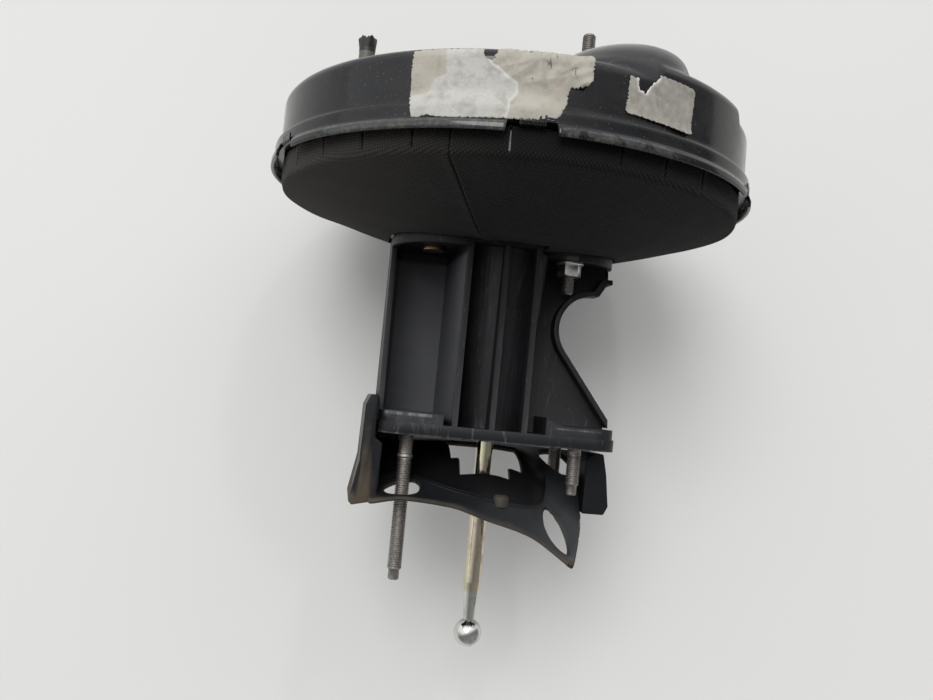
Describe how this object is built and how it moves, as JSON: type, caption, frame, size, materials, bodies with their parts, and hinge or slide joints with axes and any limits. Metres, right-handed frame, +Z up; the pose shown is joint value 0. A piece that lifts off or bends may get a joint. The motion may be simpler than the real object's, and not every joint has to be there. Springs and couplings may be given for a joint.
{
  "type": "brake booster",
  "caption": "Vacuum brake booster: crimped steel drum on a ribbed moulded spacer, with bulkhead studs, tie bolts and a ball-ended input rod.",
  "frame": {"origin": "centre of the spacer's bulkhead face, on the axis of the booster", "axes": "+Y along the booster's axis from the bulkhead face towards the drum and the master cylinder; the input rod points to -Y; +Z up, on the side of the long stud and of the front shell's dome; +X to the right, on the side of the spacer's scooped web"},
  "size_m": [0.274, 0.3652, 0.274],
  "materials": {
    "black_enamel": "semi-gloss, worn",
    "woven_mat": "matt woven",
    "filled_plastic": "glass-filled, scuffed",
    "valve_plastic": "satin",
    "dull_steel": "dull",
    "yellow_zinc": "iridescent zinc plating",
    "spring_steel": "oiled",
    "black_rubber": "smooth, dusty",
    "filter_foam": "open foam"
  },
  "bodies": {
    "housing": {"front_shell": "black_enamel", "rear_shell": "black_enamel", "rear_mat_left": "woven_mat", "rear_mat_right": "woven_mat", "spacer": "filled_plastic", "long_bulkhead_stud": "dull_steel", "short_bulkhead_studs": "dull_steel", "tie_bolt_left": "dull_steel", "tie_bolt_right": "dull_steel", "tie_nuts": "yellow_zinc", "tie_washers": "yellow_zinc", "neck_seal": "black_rubber", "neck_seal_retainer": "dull_steel", "dust_boot": "black_rubber", "bulkhead_gasket": "black_rubber", "gasket_nub": "black_rubber", "return_spring": "spring_steel", "check_valve_grommet": "black_rubber", "check_valve_base": "valve_plastic", "check_valve_cap": "valve_plastic", "check_valve_spring": "spring_steel"},
    "power_piston": {"valve_body": "valve_plastic", "support_plate": "dull_steel", "diaphragm": "black_rubber", "tie_bolt_seals": "black_rubber", "valve_key": "dull_steel", "reaction_disc": "black_rubber", "output_rod": "dull_steel", "output_rod_tip": "dull_steel", "output_rod_retainer": "dull_steel", "poppet_retainer": "dull_steel", "poppet_spring": "spring_steel", "air_filter": "filter_foam", "filter_cap": "valve_plastic", "rod_return_spring": "spring_steel"},
    "plunger": {"valve_plunger": "dull_steel"},
    "poppet": {"poppet_valve": "black_rubber"},
    "rod_pivot": {"ball_seat": "dull_steel"},
    "input_rod": {"input_rod": "yellow_zinc", "rod_spring_seat": "dull_steel"},
    "check_disc": {"check_valve_disc": "black_rubber"}
  },
  "joints": [
    {"name": "power_piston_slide", "type": "slide", "parent": "housing", "child": "power_piston", "axis": [0, 1, 0], "range_m": [0, 0.03], "stiffness_N_per_m": 1500, "springref_m": -0.02, "deforming": ["return_spring", "diaphragm", "dust_boot"]},
    {"name": "valve_plunger_slide", "type": "slide", "parent": "power_piston", "child": "plunger", "axis": [0, 1, 0], "range_m": [0, 0.0015], "stiffness_N_per_m": 2500, "springref_m": -0.002, "deforming": ["rod_return_spring", "poppet_spring"]},
    {"name": "poppet_slide", "type": "slide", "parent": "power_piston", "child": "poppet", "axis": [0, 1, 0], "range_m": [0, 0.0006]},
    {"name": "rod_swing_sideways", "type": "hinge", "parent": "plunger", "child": "rod_pivot", "pos_m": [0, 0.114, 0], "axis": [0, 0, 1], "range_deg": [-3, 3]},
    {"name": "rod_swing_up_down", "type": "hinge", "parent": "rod_pivot", "child": "input_rod", "pos_m": [0, 0.114, 0], "axis": [1, 0, 0], "range_deg": [-3, 3]},
    {"name": "check_valve_lift", "type": "slide", "parent": "housing", "child": "check_disc", "axis": [0, 1, 0], "range_m": [0, 0.0015], "stiffness_N_per_m": 150, "springref_m": -0.002, "deforming": ["check_valve_spring"]}
  ],
  "couplings": [
    {"joint": "poppet_slide", "follows": "valve_plunger_slide", "ratio": 0.4}
  ]
}
